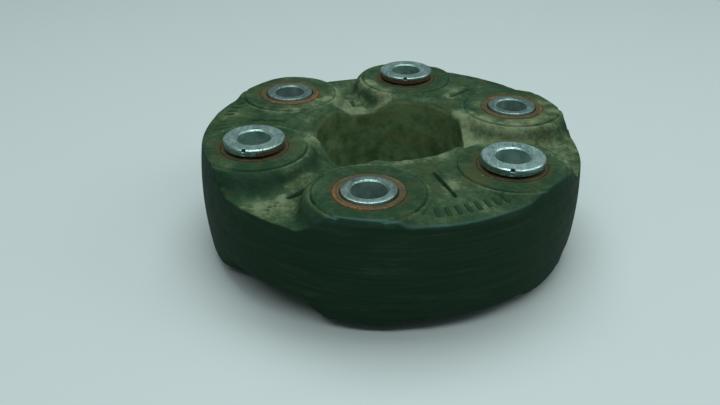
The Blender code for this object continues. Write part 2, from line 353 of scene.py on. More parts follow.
def edge_rounding(gap, radius):
    """How far a rounded edge falls at a distance in from the wall."""
    inside = np.clip(radius - gap, 0, radius)
    return radius - np.sqrt(np.clip(radius**2 - inside**2, 0, None))


def rounded_height(x, y):
    """Half height of the rubber with its outer and inner edges rounded."""
    z = top_height(x, y)
    r, deg = polar_of(x, y)
    on_thick = smooth((z - 16.0) / 3.0)
    on_disc = smooth((21.0 - nearest_bush(x, y)) / 1.5)
    soft_side = bell(turn_between(deg, -22.0) / 8.0)
    thin_side = smooth((off_thick(deg) - HALF_SECTOR) / 4.0)
    on_flank = thin_side * (1 - on_disc) * smooth((z - 14.6) / 1.6)
    outer = 0.7 + 0.6 * on_thick * (1 - on_disc) + 1.2 * soft_side * on_thick + 2.4 * on_flank
    soft_rim = bell(turn_between(deg, 178.0) / 24.0)
    inner = 0.6 + 1.6 * on_thick + 3.0 * soft_rim
    return z - edge_rounding(WALL_R_EDGE - r, outer) - edge_rounding(r - HOLE_R, inner)


def dust_and_shading_at(x, y):
    """How dusty the rubber is, about 0 to 1, with painted shade and highlights mixed in, and below 0 down in
    the slits, where it is painted shade.
    """
    r, deg = polar_of(x, y)
    patchy = flat_noise(x, y, 9.0, 31)
    dust_and_shading = 0.26 + 0.16 * patchy + 0.12 * flat_noise(x, y, 3.6, 33)
    rim = smooth((35.5 - r) / 5.0) * (0.55 + 0.45 * flat_noise(x, y, 6.0, 35))
    dust_and_shading = dust_and_shading + 0.30 * rim
    for side, amount in THIN_DUST_AND_SHADE.items():
        across = np.abs(turn_between(deg, side))
        dust_and_shading = dust_and_shading + amount * smooth((27.0 - across) / 8.0) * (0.75 + 0.25 * patchy)
    # Dust spots, with painted shade and a painted highlight among them
    for place, radius, amount in DUST_AND_SHADING_SPOTS:
        px, py = at_polar(*place)
        away = np.hypot(x - px, y - py) * (1 + 0.3 * flat_noise(x, y, 3.0, 37))
        dust_and_shading = dust_and_shading + amount * bell(away / radius)
    dust_and_shading = dust_and_shading + 0.38 * np.clip(ridge_height(x, y), 0, 1)
    d = nearest_bush(x, y)
    # The light ring on each lip is partly dust and partly a painted highlight on its edge
    lip = bell((d - LIP_DUST_AND_SHEEN_R) / 0.42) * (0.40 + 0.9 * flat_noise(x, y, 9.0, 43))
    dust_and_shading = dust_and_shading + 0.50 * np.clip(lip, 0, 1) - 0.10 * smooth((18.5 - d) / 3.0)
    # Painted shade: the mask goes below 0 down in the slits
    return np.clip(dust_and_shading, 0.0, 1.15) - 0.9 * slit_depth(x, y)[1]


def edge_sheen_at(x, y, z):
    """Where the top outer edge gets a painted highlight, strongest along the front."""
    r, deg = polar_of(x, y)
    gap = wall_radius(z) - r
    edge = bell((gap - 0.25) / 0.45) * smooth((z - 15.5) / 2.0)
    front = 0.25 + 0.5 * bell(turn_between(deg, -72.0) / 24.0)
    front = front + 1.1 * smooth((9.5 - np.abs(turn_between(deg, -90.0))) / 1.5)
    return edge * front * (0.75 + 0.4 * flat_noise(x, y, 6.0, 45))


def warm_at(x, y):
    """Where the rubber is browner."""
    warm = np.zeros_like(x)
    for place, radius, amount in WARM:
        px, py = at_polar(*place)
        away = np.hypot(x - px, y - py) * (1 + 0.3 * flat_noise(x, y, 3.0, 39))
        warm = warm + amount * bell(away / radius)
    return warm


def stain_at(x, y):
    """Brown stain on the rubber round each steel hub."""
    d = nearest_bush(x, y)
    near = bell((d - OPENING_R) / 1.3) + 0.35 * bell((d - 14.5) / 2.2)
    return np.clip(near * (0.55 + 0.6 * flat_noise(x, y, 4.0, 41)), 0, 1)


# Rubber sectors


def spread(start, end, count, closeness=0.0):
    """Values from start up to but not including end, closer together at both ends."""
    t = np.arange(count) / count
    t = t - closeness * np.sin(2 * np.pi * t) / (2 * np.pi)
    return start + (end - start) * t


WALL_POINTS, SIDE_POINTS, HOLE_POINTS = 56, 84, 26
SIDE_CLOSENESS = 0.75


def sector_border():
    """Points round a sector's edge in its own axes (x outward), half by half."""
    half = [at_polar(WALL_R_EDGE, a) for a in spread(0, HALF_SECTOR, WALL_POINTS)]
    half += [at_polar(r, HALF_SECTOR) for r in spread(WALL_R_EDGE, HOLE_R, SIDE_POINTS, SIDE_CLOSENESS)]
    half += [at_polar(HOLE_R, a) for a in spread(HALF_SECTOR, 0, HOLE_POINTS)]
    half += [(HOLE_R, 0.0)]
    other = [(x, -y) for x, y in reversed(half[1:-1])]
    return np.array(half + other)


# Rows of points over the top: out from the sleeve's opening, then in from the border
NEAR_ROWS = np.concatenate([np.linspace(0, 5.6, 10), np.linspace(5.95, 7.5, 8), np.linspace(7.9, 10.4, 7)])
EDGE_ROWS = np.array([3.3, 2.5, 1.9, 1.4, 1.0, 0.68, 0.42, 0.22, 0.08, 0.0])
MIDDLE_STEPS = 20


def row_shares(reach):
    """Where the rows lie between the sleeve's opening and the border, for each direction."""
    total = reach - OPENING_R
    squeeze = np.minimum(1.0, (total - EDGE_ROWS[0] - 0.3) / NEAR_ROWS[-1])
    rows = [step * squeeze for step in NEAR_ROWS]
    left = total - EDGE_ROWS[0] - rows[-1]
    last_near = rows[-1]
    rows += [last_near + left * step / (MIDDLE_STEPS + 1) for step in range(1, MIDDLE_STEPS + 1)]
    return rows + [total - step for step in EDGE_ROWS]


def surface_point_rows(x, y):
    """The rounded top surface over a row of places, shifted where the wall is barrelled."""
    z = rounded_height(x, y)
    r = np.hypot(x, y)
    stretch = 1 + (wall_radius(z) - WALL_R_EDGE) * near_wall(r) / r
    return np.stack([x * stretch, y * stretch, z], axis=1)


def ring_faces(a, b, count):
    """Quads between two closed rows of points that start at indices a and b."""
    i = np.arange(count)
    j = (i + 1) % count
    return np.stack([a + i, a + j, b + j, b + i], axis=1)


def tube_faces(row_count, count, closed):
    last = row_count if closed else row_count - 1
    return np.concatenate([ring_faces(k * count, ((k + 1) % row_count) * count, count) for k in range(last)])


WALL_STEPS = 18


def sector_rows(bush_deg):
    """Rows of points round one sector: over the top, down the border, under, and up inside."""
    border = sector_border()
    centre = np.array([BOLT_R, 0.0])
    away = border - centre
    reach = np.hypot(away[:, 0], away[:, 1])
    ray = away / reach[:, None]
    turn = math.radians(bush_deg)
    spin = np.array([[math.cos(turn), -math.sin(turn)], [math.sin(turn), math.cos(turn)]])

    def placed(radius):
        flat = (centre + ray * np.asarray(radius).reshape(-1, 1)) @ spin.T
        return flat[:, 0], flat[:, 1]

    top = [surface_point_rows(*placed(OPENING_R + share)) for share in row_shares(reach)]
    last = top[-1]
    r_edge = np.hypot(last[:, 0], last[:, 1])
    on_wall = near_wall(r_edge)
    wall = []
    for share in np.linspace(1, -1, WALL_STEPS)[1:-1]:
        z = last[:, 2] * share
        scale = 1 + (wall_radius(z) - wall_radius(last[:, 2])) * on_wall / r_edge
        wall.append(np.stack([last[:, 0] * scale, last[:, 1] * scale, z], axis=1))
    coarse = top[:-len(EDGE_ROWS):2] + top[-len(EDGE_ROWS):]
    under = [row * np.array([1, 1, -1]) for row in reversed(coarse)]
    room = [(OPENING_R, -ROOM_TOP), (ROOM_R, -ROOM_TOP), (ROOM_R, 0.0), (ROOM_R, ROOM_TOP),
            (OPENING_R, ROOM_TOP)]
    inside = []
    for radius, z in room:
        x, y = placed(np.full(len(ray), radius))
        inside.append(np.stack([x, y, np.full(len(ray), z)], axis=1))
    return top + wall + under + inside


def pad(place, across, along, height, rounded):
    """A small raised pad, sunk into the top surface, as rows of a closed tube."""
    r0, deg0 = place
    centre, a = np.array(at_polar(r0, deg0)), math.radians(deg0)
    outward, sideways = np.array([math.cos(a), math.sin(a)]), np.array([-math.sin(a), math.cos(a)])
    angles = np.radians(np.arange(PAD_SIDES) * 360.0 / PAD_SIDES)
    power = 1.0 if rounded else 0.35
    circle = np.stack([np.sign(np.cos(angles)) * np.abs(np.cos(angles)) ** power,
                       np.sign(np.sin(angles)) * np.abs(np.sin(angles)) ** power], axis=1)
    rows = []
    for size, lift in PAD_DOME:
        aside = circle[:, :1] * size * across / 2 * sideways
        out = circle[:, 1:] * size * along / 2 * outward
        x, y = (centre + aside + out).T
        rows.append(surface_point_rows(x, y) + np.array([0, 0, height * lift]))
    return rows


def pads_of_sector(bush_deg):
    """The raised bars and dots that stand in one sector."""
    pads = []
    across, along = BAR_SIZE
    for radius, first, last, count, height in BAR_ROWS:
        for deg in np.linspace(first, last, count):
            if abs(turn_between(deg, bush_deg)) <= HALF_SECTOR:
                pads.append((pad((radius, deg), across, along, height, False), BAR_DUST))
    for place, radius, height in DOTS:
        if abs(turn_between(place[1], bush_deg)) <= HALF_SECTOR:
            pads.append((pad(place, 2 * radius, 2 * radius, DOT_LIFT * height, True), DOT_DUST))
    return pads


def sector_mesh(name, bush_deg, material):
    """One sector, and the dust of each of its points that is on a pad (nan elsewhere)."""
    rows = sector_rows(bush_deg)
    points = [np.concatenate(rows)]
    faces = [tube_faces(len(rows), len(rows[0]), True)]
    start = len(points[0])
    dust_and_shading = [np.full(start, math.nan)]
    for pad_rows, pad_dust in pads_of_sector(bush_deg):
        count = len(pad_rows[0])
        points.append(np.concatenate(pad_rows))
        dust_and_shading.append(np.full(len(points[-1]), pad_dust))
        faces.append(start + tube_faces(len(pad_rows), count, True))
        start += count * len(pad_rows)
    sector = mesh_from_arrays(name, np.concatenate(points), np.concatenate(faces), material)
    return sector, np.concatenate(dust_and_shading)


def mesh_from_arrays(name, points, faces, material, sharp=40.0):
    mesh = bpy.data.meshes.new(name)
    mesh.from_pydata((np.asarray(points) * MM).tolist(), [], [list(f) for f in faces])
    mesh.materials.append(material)
    bm = bmesh.new()
    bm.from_mesh(mesh)
    bmesh.ops.recalc_face_normals(bm, faces=bm.faces)
    bm.to_mesh(mesh)
    bm.free()
    mesh.shade_smooth()
    mesh.set_sharp_from_angle(angle=math.radians(sharp))
    thing = bpy.data.objects.new(name, mesh)
    bpy.context.scene.collection.objects.link(thing)
    return thing


def points_of(piece):
    co = np.empty(len(piece.data.vertices) * 3, np.float32)
    piece.data.vertices.foreach_get("co", co)
    return co.reshape(-1, 3).astype(float).T / MM


def set_mask(piece, name, values):
    mask = piece.data.attributes.new(name, "FLOAT", "POINT")
    mask.data.foreach_set("value", np.asarray(values, np.float32))


def follow_sleeve(piece, bush_deg):
    """Bakes a piece's placement into its mesh."""
    x, y = at_polar(BOLT_R * MM, bush_deg)
    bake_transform(piece)
    x, y, _ = points_of(piece)


# Turned steel pieces


def body_of(kind, number):
    return "driving_bushes" if kind == "driving" else f"driven_bush_{number}"


def lathe(name, profile, at, material, angles, shaped, sharp=25.0):
    """A ring turned about a sleeve's axis from a closed outline of (radius, height) points.

    shaped changes each row: it takes degrees, radii and heights, and gives radii and heights.
    """
    turn = np.radians(angles)
    rows = []
    for r, z in profile:
        radius, height = shaped(angles, np.full(len(angles), float(r)), np.full(len(angles), float(z)))
        rows.append(np.stack([at[0] + radius * np.cos(turn), at[1] + radius * np.sin(turn), height], axis=1))
    faces = tube_faces(len(rows), len(angles), True)
    return mesh_from_arrays(name, np.concatenate(rows), faces, material, sharp)


def sleeve_profile():
    """Outline of a sleeve with its head up, from the bore's foot round the outside."""
    foot, head, c, rim = -SLEEVE_HALF, HEAD_FACE, BORE_CHAMFER, RIM_CHAMFER
    points = [(BORE_R, foot + c), (BORE_R + c, foot), (SLEEVE_R - 1.2, foot)]
    points += [(SLEEVE_R - 0.4, foot), (SLEEVE_R - 0.12, foot + 0.1), (SLEEVE_R, foot + 0.4)]
    points += [(SLEEVE_R, -10.0), (SLEEVE_R, 5.0), (SLEEVE_R, HEAD_UNDER)]
    points += [(HEAD_R - 0.25, HEAD_UNDER), (HEAD_R, HEAD_UNDER + 0.25)]
    points += [(HEAD_R, z) for z in np.arange(HEAD_UNDER + 0.5, head - rim - 0.1, 0.22)]
    points += [(HEAD_R, head - rim), (HEAD_R - rim, head), (HEAD_R - 1.5, head), (HEAD_R - 2.6, head)]
    points += [(BORE_R + c, head), (BORE_R, head - c)]
    points += [(BORE_R, 8.0), (BORE_R, -8.0)]
    return points


def notch_cut(off, up):
    """Depth of the small notch in a head's rim, and of the dimple below it."""
    across = off * HEAD_R * math.pi / 180
    notch = np.clip(1 - np.abs(across) / 0.85, 0, 1) * smooth((up - HEAD_FACE + 1.25) / 0.7)
    dimple = bell(across / 0.42) * bell((up - HEAD_FACE + 1.75) / 0.36)
    return 1.0 * notch + 0.3 * dimple


def rim_rust(name, deg):
    """How rusty a head's rim is, by direction."""
    rust = np.full(len(deg), RIM_RUST.get(name, 0.15))
    if name in RUSTY_SIDES:
        extra, middle, half_width, fade = RUSTY_SIDES[name]
        rust = rust + extra * smooth((half_width - np.abs(turn_between(deg, middle))) / fade)
    return rust


def paint_sleeve(piece, name, sign, notch):
    """Masks of a sleeve's darkening, rust and bore; sign says which way its head points. The darkening is
    painted shade in the head's notch and down the bores of the sleeves whose heads are below, and it darkens
    their flush ends.
    """
    x, y, z = points_of(piece)
    r, deg = polar_of(x - BUSH_AT[name][0], y - BUSH_AT[name][1])
    up = z * sign
    in_bore = r < BORE_R + 0.1
    on_head = smooth((r - HEAD_R + 1.3) / 0.3) * (up > HEAD_UNDER)
    in_notch = np.clip(notch_cut(turn_between(deg, notch), up) * 2.2, 0, 1) * on_head
    flush_end = (up < 0.3 - SLEEVE_HALF) | in_bore
    set_mask(piece, "darkening", np.maximum(in_notch, FLUSH_DARKENING * flush_end * (sign < 0)))
    low_on_rim = smooth((HEAD_FACE - 0.55 - up) / 0.8) * on_head
    at_foot = (up < -SLEEVE_HALF + 0.6) * (r < SLEEVE_R + 0.1)
    foot_rust = 0.3 * smooth((r - SLEEVE_R + 0.3) / 0.2) * at_foot
    set_mask(piece, "rust", rim_rust(name, deg) * low_on_rim + foot_rust)
    set_mask(piece, "bore", in_bore * 1.0)


def make_sleeve(name, kind, number, material):
    sign = -1 if kind == "driving" else 1
    notch = NOTCH_DEG.get(name, 80.0 * number)
    fine = notch + np.arange(-6.0, 6.01, 0.5)
    wide = notch + 6.0 + np.arange(1, 174) * 2.0
    angles = np.concatenate([fine, wide])

    def dented(deg, radius, height):
        on_rim = smooth((radius - HEAD_R + 0.9) / 0.3) * (height * sign > HEAD_UNDER + 0.2)
        cut = notch_cut(turn_between(deg, notch), height * sign) * on_rim
        nick = 0.05 * value_noise(deg / 7.0, height, height * 0, number + 20) * on_rim
        return radius - cut + nick, height

    profile = [(r, sign * z) for r, z in sleeve_profile()]
    piece = lathe(name + "_turned", profile, BUSH_AT[name], material, angles, dented)
    paint_sleeve(piece, name, sign, notch)
    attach(piece, body_of(kind, number))
    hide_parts(name)


def collar_profile():
    """Outline of an upper collar, from its inner foot round the flange and up the hub."""
    low, top = COLLAR_LOW, COLLAR_TOP
    points = [(COLLAR_IN, low), (COLLAR_R - 0.2, low), (COLLAR_R, low + 0.2)]
    points += [(COLLAR_R, COLLAR_FLANGE_TOP - 0.2), (COLLAR_R - 0.2, COLLAR_FLANGE_TOP)]
    points += [(COLLAR_HUB_R + 0.2, COLLAR_FLANGE_TOP), (COLLAR_HUB_R, COLLAR_FLANGE_TOP + 0.2)]
    points += [(COLLAR_HUB_R, top - 0.4), (COLLAR_HUB_R - 0.08, top - 0.15), (COLLAR_HUB_R - 0.3, top)]
    points += [(COLLAR_HUB_R - step, top - 0.06) for step in (0.7, 1.1, 1.5, 1.9)]
    points += [(COLLAR_IN + 0.35, top - 0.02), (COLLAR_IN + 0.05, top - 0.3)]
    return points


def make_collar(kind, level, number, material):
    node = f"{kind}_collar_{level}_{number}"
    sign = 1 if level == "upper" else -1
    profile = [(r, sign * z) for r, z in collar_profile()]

    def rough(deg, radius, height):
        a = np.radians(deg)
        lifted = smooth((height * sign - COLLAR_TOP + 0.6) / 0.4)
        lump = value_noise(np.cos(a) * 5 + radius, np.sin(a) * 5, height, number * 7 + 1)
        return radius, height + sign * lifted * (0.09 * lump - 0.05)

    at = BUSH_AT[f"{kind}_sleeve_{number}"]
    piece = lathe(node + "_turned", profile, at, material, np.arange(0, 360, 2.5), rough)
    x, y, _ = points_of(piece)
    ox, oy = x - at[0], y - at[1]
    r = np.hypot(ox, oy)
    edge = bell((r - COLLAR_HUB_R + 0.3) / 0.6) + 0.8 * bell((r - COLLAR_IN) / 0.6)
    patch = value_noise(ox / 5.0 + at[0], oy / 5.0, x * 0 + number, 51)
    # Rust, and on the driven collars partly painted shade from the heads
    set_mask(piece, "rust", np.clip(COLLAR_RUST_AND_SHADE[kind] * (0.15 + edge * (0.28 + 1.2 * patch)), 0, 1))
    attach(piece, body_of(kind, number))
    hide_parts(node)


# Cord loop halves


def loop_section(low, high):
    """Cross-section of a cord loop, as (distance from the sleeve's axis, height) points."""
    c = LOOP_BEVEL
    return [(LOOP_IN, low + c), (LOOP_IN + c, low), (LOOP_OUT - c, low), (LOOP_OUT, low + c),
            (LOOP_OUT, high - c), (LOOP_OUT - c, high), (LOOP_IN + c, high), (LOOP_IN, high - c)]


def loop_half(name, low, high, bush_deg, side_deg, material):
    """Half of a cord loop: in from the border, round the sleeve, and back to the border."""
    middle = np.array(at_polar(BOLT_R * math.cos(math.radians(HALF_SECTOR)), side_deg))
    bush = np.array(at_polar(BOLT_R, bush_deg))
    run = bush - middle
    span = math.hypot(*run)
    ahead = run / span
    side = np.array([-ahead[1], ahead[0]])
    start = math.atan2(ahead[1], ahead[0])
    stations = [(middle + ahead * s, -side) for s in np.linspace(0, span, LEG_POINTS)[:-1]]
    for step in range(ARC_STEPS + 1):
        a = start - math.pi / 2 + math.pi * step / ARC_STEPS
        stations.append((bush, np.array([math.cos(a), math.sin(a)])))
    stations += [(middle + ahead * s, side) for s in np.linspace(span, 0, LEG_POINTS)[1:]]
    section = loop_section(low, high)
    points = [(*(base + outward * r), z) for base, outward in stations for r, z in section]
    count = len(section)
    faces = [list(f) for f in tube_faces(len(stations), count, False)]
    faces += [list(range(count)), list(range(len(points) - count, len(points)))]
    return mesh_from_arrays(name, points, faces, material, 50.0)


# Materials


class Nodes:
    """Short calls for building one material's nodes."""

    def __init__(self, name):
        self.material = bpy.data.materials.new(name)
        self.material.use_nodes = True
        self.tree = self.material.node_tree
        self.shader = self.tree.nodes["Principled BSDF"]
        self.place = self.new("ShaderNodeTexCoord").outputs["Object"]

    def new(self, kind, **settings):
        node = self.tree.nodes.new(kind)
        for key, value in settings.items():
            setattr(node, key, value)
        return node

    def link(self, source, target):
        self.tree.links.new(source, target)

    def put(self, socket, value):
        if isinstance(value, bpy.types.NodeSocket):
            self.link(value, socket)
        else:
            socket.default_value = value

    def set(self, **values):
        """Links or sets the shader's inputs, named with underscores."""
        for key, value in values.items():
            self.put(self.shader.inputs[key.replace("_", " ")], value)

    def mask(self, name):
        return self.new("ShaderNodeAttribute", attribute_name=name).outputs["Fac"]

    def noise(self, scale, detail=4.0, roughness=0.55, vector=None, distortion=0.0):
        node = self.new("ShaderNodeTexNoise")
        self.link(vector or self.place, node.inputs["Vector"])
        for key, value in (("Scale", scale), ("Detail", detail), ("Roughness", roughness),
                           ("Distortion", distortion)):
            node.inputs[key].default_value = value
        return node.outputs["Fac"]

    def stretched(self, x, y, z):
        node = self.new("ShaderNodeMapping")
        self.link(self.place, node.inputs["Vector"])
        node.inputs["Scale"].default_value = (x, y, z)
        return node.outputs["Vector"]

    def ramp(self, factor, low, high, start=0.0, end=1.0):
        """Rescales a factor from low..high to start..end, kept between them."""
        node = self.new("ShaderNodeMapRange")
        self.put(node.inputs["Value"], factor)
        for key, value in (("From Min", low), ("From Max", high), ("To Min", start), ("To Max", end)):
            node.inputs[key].default_value = value
        return node.outputs["Result"]

    def math(self, operation, a, b=0.0):
        node = self.new("ShaderNodeMath", operation=operation)
        self.put(node.inputs[0], a)
        self.put(node.inputs[1], b)
        return node.outputs[0]

    def times(self, a, b):
        return self.math("MULTIPLY", a, b)

    def plus(self, a, b):
        return self.math("ADD", a, b)

    def swing(self, noise, amount):
        """A noise moved to lie about 0, times an amount."""
        return self.times(self.plus(noise, -0.5), amount)

    def mix(self, factor, a, b):
        node = self.new("ShaderNodeMix", data_type="RGBA")
        self.put(node.inputs["Factor"], factor)
        colours = [s for s in node.inputs if s.type == "RGBA"]
        for socket, value in zip(colours, (a, b)):
            self.put(socket, (*value, 1.0) if isinstance(value, tuple) else value)
        return [s for s in node.outputs if s.type == "RGBA"][0]

    def part_of(self, vector, axis):
        split = self.new("ShaderNodeSeparateXYZ")
        self.link(vector, split.inputs[0])
        return split.outputs[axis]

    def up(self):
        """How far the surface faces up or down, from 0 to 1."""
        normal = self.new("ShaderNodeNewGeometry").outputs["Normal"]
        return self.math("ABSOLUTE", self.part_of(normal, "Z"))

    def radius(self):
        """Distance from the ring's axis, in metres."""
        flat = self.new("ShaderNodeVectorMath", operation="MULTIPLY")
        self.link(self.place, flat.inputs[0])
        flat.inputs[1].default_value = (1, 1, 0)
        length = self.new("ShaderNodeVectorMath", operation="LENGTH")
        self.link(flat.outputs[0], length.inputs[0])
        return length.outputs["Value"]

    def at_radius(self, first, last, start=0.0, end=1.0):
        """A ramp over the distance from the ring's axis, in millimetres."""
        return self.ramp(self.radius(), first * MM, last * MM, start, end)

    def bump(self, *layers):
        """Bumps of (factor, depth in metres), each on the last."""
        normal = None
        for factor, depth in layers:
            node = self.new("ShaderNodeBump")
            node.inputs["Strength"].default_value = 1.0
            node.inputs["Distance"].default_value = depth
            self.link(factor, node.inputs["Height"])
            if normal is not None:
                self.link(normal, node.inputs["Normal"])
            normal = node.outputs["Normal"]
        self.set(Normal=normal)


# Rubber colours
WALL_DARK = (0.0085, 0.0235, 0.0130)
WALL_LIGHT = (0.0135, 0.0350, 0.0190)
WALL_SCUFF = (0.0300, 0.0520, 0.0260)
FLANK_DARK = (0.0110, 0.0330, 0.0180)
FLANK_LIGHT = (0.0230, 0.0520, 0.0270)
HOLE_DARK = (0.0350, 0.0760, 0.0280)
HOLE_LIGHT = (0.1000, 0.1560, 0.0720)
HOLE_BROWN = (0.0900, 0.0960, 0.0340)
TOP_CLEAN = (0.0130, 0.0360, 0.0185)
TOP_DUSTY = (0.0350, 0.0630, 0.0320)
TOP_WARM = (0.0430, 0.0540, 0.0200)
TOP_PALE = (0.1150, 0.1500, 0.0850)
# Painted highlight colour for the top outer edge
EDGE_SHEEN = (0.0400, 0.0960, 0.0820)
STAIN = (0.0520, 0.0430, 0.0150)


def rubber_material():
    n = Nodes("rubber")
    patches = n.noise(55.0, 5.0, 0.6)
    blotches = n.noise(150.0, 5.0, 0.65)
    fine = n.noise(420.0, 4.0, 0.65)
    grain = n.noise(1500.0, 3.0, 0.6)
    rings = n.noise(70.0, 4.0, 0.6, n.stretched(0.4, 0.4, 14.0))
    scuffs = n.noise(120.0, 5.0, 0.7, n.stretched(0.35, 0.35, 2.2))
    # Dust, with painted shade and painted highlights mixed in
    dust_and_shading = n.mask("dust_and_shading")

    wall = n.mix(n.ramp(rings, 0.35, 0.7), WALL_DARK, WALL_LIGHT)
    scuffed = n.times(n.ramp(scuffs, 0.52, 0.70), n.ramp(patches, 0.40, 0.60, 0.0, 0.7))
    wall = n.mix(scuffed, wall, WALL_SCUFF)
    cloudy = n.plus(n.times(patches, 0.5), n.times(blotches, 0.5))
    hole = n.mix(n.ramp(cloudy, 0.42, 0.58), HOLE_DARK, HOLE_LIGHT)
    hole = n.mix(n.ramp(scuffs, 0.50, 0.64, 0.0, 0.6), hole, HOLE_BROWN)
    flank = n.mix(n.ramp(blotches, 0.35, 0.65), FLANK_DARK, FLANK_LIGHT)
    side = n.mix(n.at_radius(66.5, 69.0), flank, wall)
    side = n.mix(n.at_radius(28.4, 30.0, 1.0, 0.0), side, hole)

    grit = n.noise(800.0, 3.0, 0.7)
    uneven = n.plus(n.swing(blotches, 0.9), n.swing(fine, 1.2))
    amount = n.plus(n.plus(dust_and_shading, uneven), n.swing(grit, 0.9))
    flat = n.mix(n.ramp(amount, 0.10, 0.62), TOP_CLEAN, TOP_DUSTY)
    warm = n.noise(90.0, 5.0, 0.65, n.stretched(1.0, 1.3, 1.0))
    flat = n.mix(n.ramp(n.plus(warm, n.mask("warm")), 0.50, 0.76, 0.0, 0.8), flat, TOP_WARM)
    flat = n.mix(n.ramp(amount, 0.62, 1.25), flat, TOP_PALE)
    stain = n.ramp(n.plus(n.mask("stain"), n.swing(fine, 0.8)), 0.25, 0.95, 0.0, 0.75)
    flat = n.mix(stain, flat, STAIN)
    # Painted shade: down in the slits, where the mask is below 0, the top is coloured nearly as dark as the
    # wall
    flat = n.mix(n.ramp(dust_and_shading, -0.25, -0.02, 0.92, 0.0), flat, WALL_DARK)

    lift = n.times(n.ramp(dust_and_shading, 0.2, 1.0, 0.0, 0.42), n.at_radius(68.0, 70.0, 1.0, 0.0))
    tilt = n.plus(n.plus(n.up(), n.swing(fine, 0.3)), lift)
    facing = n.ramp(tilt, 0.40, 0.84)
    on_edge = n.times(n.ramp(n.up(), 0.15, 0.5), n.ramp(n.up(), 0.80, 0.97, 1.0, 0.0))
    # Painted highlight along the top outer edge, where the surface turns from the top to the wall
    edge_sheen = n.times(n.mask("edge_sheen"), on_edge)
    n.set(Base_Color=n.mix(edge_sheen, n.mix(facing, side, flat), EDGE_SHEEN), Specular_IOR_Level=0.2)
    gloss = n.plus(n.ramp(facing, 0.0, 1.0, 0.62, 0.85), n.ramp(fine, 0.0, 1.0, -0.08, 0.08))
    n.set(Roughness=n.plus(gloss, n.times(edge_sheen, -0.15)), IOR=1.2)
    n.bump((patches, 0.0006), (blotches, 0.00045), (fine, 0.00024), (grain, 0.00006), (rings, 0.00003))
    return n.material


# Sleeve colours
ZINC_DARK = (0.30, 0.45, 0.435)
ZINC_LIGHT = (0.38, 0.55, 0.53)
ZINC_DULL = (0.11, 0.16, 0.13)
RIM_RUST_DARK = (0.032, 0.024, 0.008)
RIM_RUST_LIGHT = (0.100, 0.060, 0.020)
# Painted shade colours for the insides of the bores
BORE_DARK = (0.14, 0.27, 0.23)
BORE_LIGHT = (0.35, 0.51, 0.47)
# Near-black colour for painted shade in the notches and bores, also used on the flush ends
NEAR_BLACK = (0.012, 0.018, 0.012)


def zinc_material():
    n = Nodes("zinc")
    patches = n.noise(160.0, 4.0, 0.6)
    speckle = n.noise(1000.0, 5.0, 0.7)
    scratches = n.noise(900.0, 3.0, 0.6, n.stretched(1.0, 0.07, 1.0), 0.4)
    cross = n.noise(800.0, 3.0, 0.6, n.stretched(0.08, 1.0, 1.0), 0.5)
    fine = n.noise(2600.0, 3.0, 0.6)
    colour = n.mix(n.ramp(patches, 0.35, 0.65), ZINC_DARK, ZINC_LIGHT)
    dull = n.times(n.ramp(speckle, 0.48, 0.62), 0.75)
    colour = n.mix(dull, colour, ZINC_DULL)
    rust = n.ramp(n.plus(n.mask("rust"), n.swing(speckle, 1.6)), 0.35, 0.80)
    rusty = n.mix(n.ramp(fine, 0.4, 0.6), RIM_RUST_DARK, RIM_RUST_LIGHT)
    colour = n.mix(rust, colour, rusty)
    # Painted shade: the bores get their own darker, duller colour and are less metallic
    bore = n.mask("bore")
    colour = n.mix(bore, colour, n.mix(n.ramp(patches, 0.35, 0.65), BORE_DARK, BORE_LIGHT))
    # Painted shade in the notches and down the bores; it also darkens the flush ends
    darkening = n.mask("darkening")
    colour = n.mix(n.ramp(darkening, 0.15, 0.8), colour, NEAR_BLACK)
    covered = n.plus(n.plus(rust, n.times(darkening, 0.45)), n.times(bore, 0.6))
    n.set(Base_Color=colour, Metallic=n.ramp(covered, 0.2, 1.0, 1.0, 0.15))
    rough = n.plus(n.ramp(patches, 0.3, 0.7, 0.24, 0.36), n.ramp(scratches, 0.5, 0.7, 0.0, 0.12))
    n.set(Roughness=n.plus(rough, n.times(n.plus(dull, rust), 0.35)))
    n.bump((scratches, 0.00002), (cross, 0.00002), (fine, 0.00001), (patches, 0.00004), (speckle, 0.00003))
    return n.material


# Collar colours
CRUST_DARK = (0.024, 0.022, 0.008)
CRUST_LIGHT = (0.062, 0.050, 0.020)
RUST_DARK = (0.060, 0.034, 0.010)
RUST_LIGHT = (0.170, 0.085, 0.028)


def rust_material():
    n = Nodes("rust")
    patches = n.noise(300.0, 5.0, 0.7)
    fine = n.noise(1400.0, 4.0, 0.7)
    crust = n.mix(n.ramp(patches, 0.35, 0.65), CRUST_DARK, CRUST_LIGHT)
    orange = n.mix(n.ramp(fine, 0.40, 0.65), RUST_DARK, RUST_LIGHT)
    amount = n.plus(n.mask("rust"), n.swing(patches, 1.4))
    colour = n.mix(n.ramp(amount, 0.25, 0.75), crust, orange)
    n.set(Base_Color=colour, Roughness=n.ramp(patches, 0.3, 0.7, 0.62, 0.9), Specular_IOR_Level=0.3)
    n.bump((patches, 0.0003), (fine, 0.0001))
    return n.material


# Spacer and cord colours
NYLON_DARK = (0.46, 0.43, 0.34)
NYLON_LIGHT = (0.58, 0.55, 0.45)
CORD_DARK = (0.16, 0.13, 0.08)
CORD_LIGHT = (0.38, 0.33, 0.21)


def nylon_material():
    n = Nodes("nylon")
    cloud = n.noise(120.0, 3.0)
    n.set(Base_Color=n.mix(cloud, NYLON_DARK, NYLON_LIGHT))
    n.set(Roughness=n.ramp(cloud, 0.3, 0.7, 0.45, 0.6))
    n.bump((n.noise(900.0), 0.00004))
    return n.material


